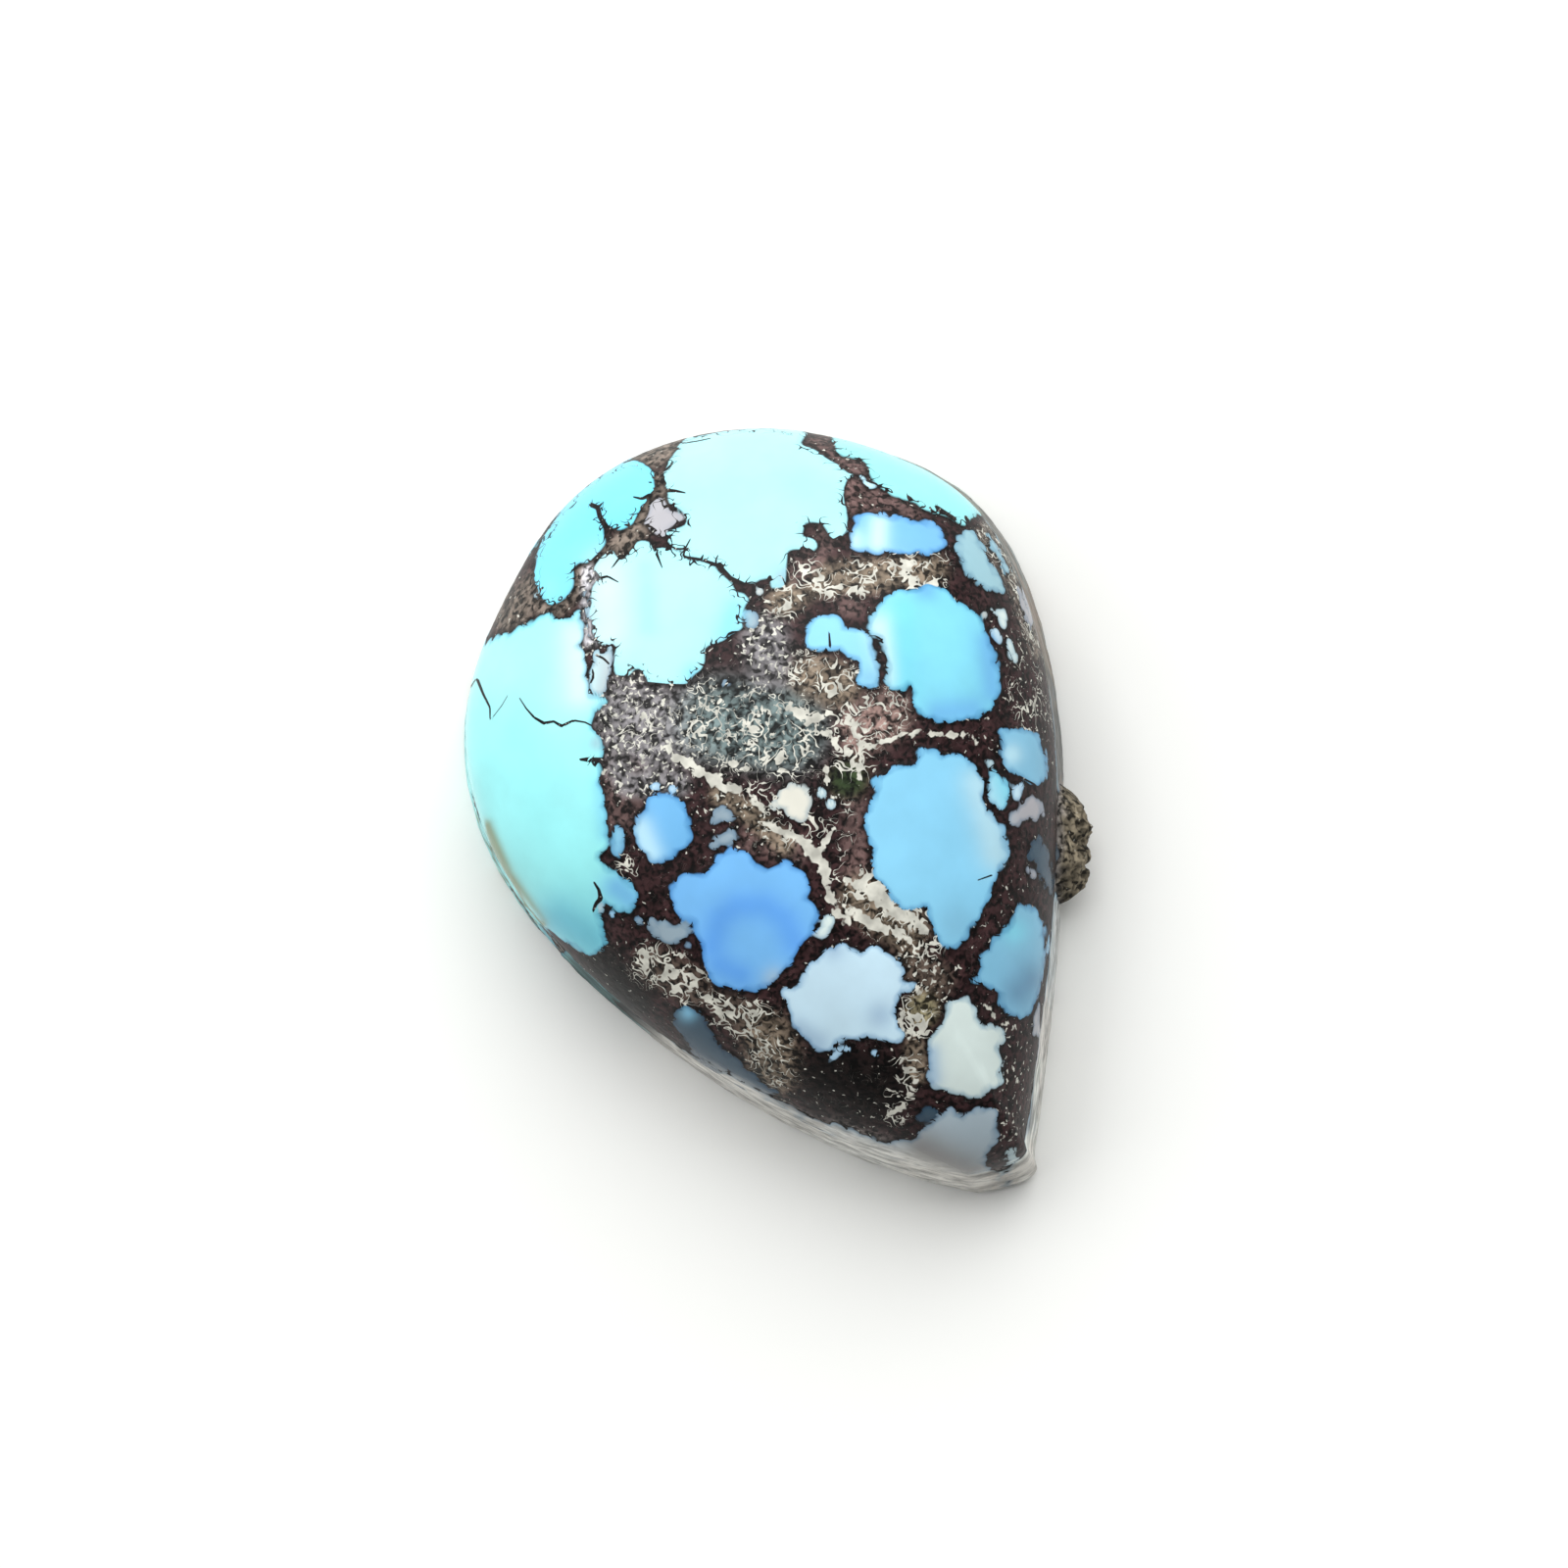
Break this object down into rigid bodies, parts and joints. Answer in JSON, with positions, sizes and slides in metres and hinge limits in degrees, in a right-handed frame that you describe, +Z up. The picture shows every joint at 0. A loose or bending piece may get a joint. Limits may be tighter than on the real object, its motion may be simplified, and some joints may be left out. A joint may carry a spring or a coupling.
{
  "type": "turquoise cabochon",
  "caption": "Pear-shaped turquoise stone with a polished domed face veined by dark web matrix, a flat sawn back to rest or be set on, and a crust of host rock on one flank.",
  "frame": {"origin": "on the plane of the flat back, under the middle of the stone's box", "axes": "+Z up out of the domed face, -Y towards the tip, +X towards the flank with the crust"},
  "size_m": [0.0126, 0.017, 0.0056],
  "materials": {
    "polished_turquoise": "polished"
  },
  "bodies": {
    "root": {"turquoise_stone": "polished_turquoise"}
  },
  "joints": []
}
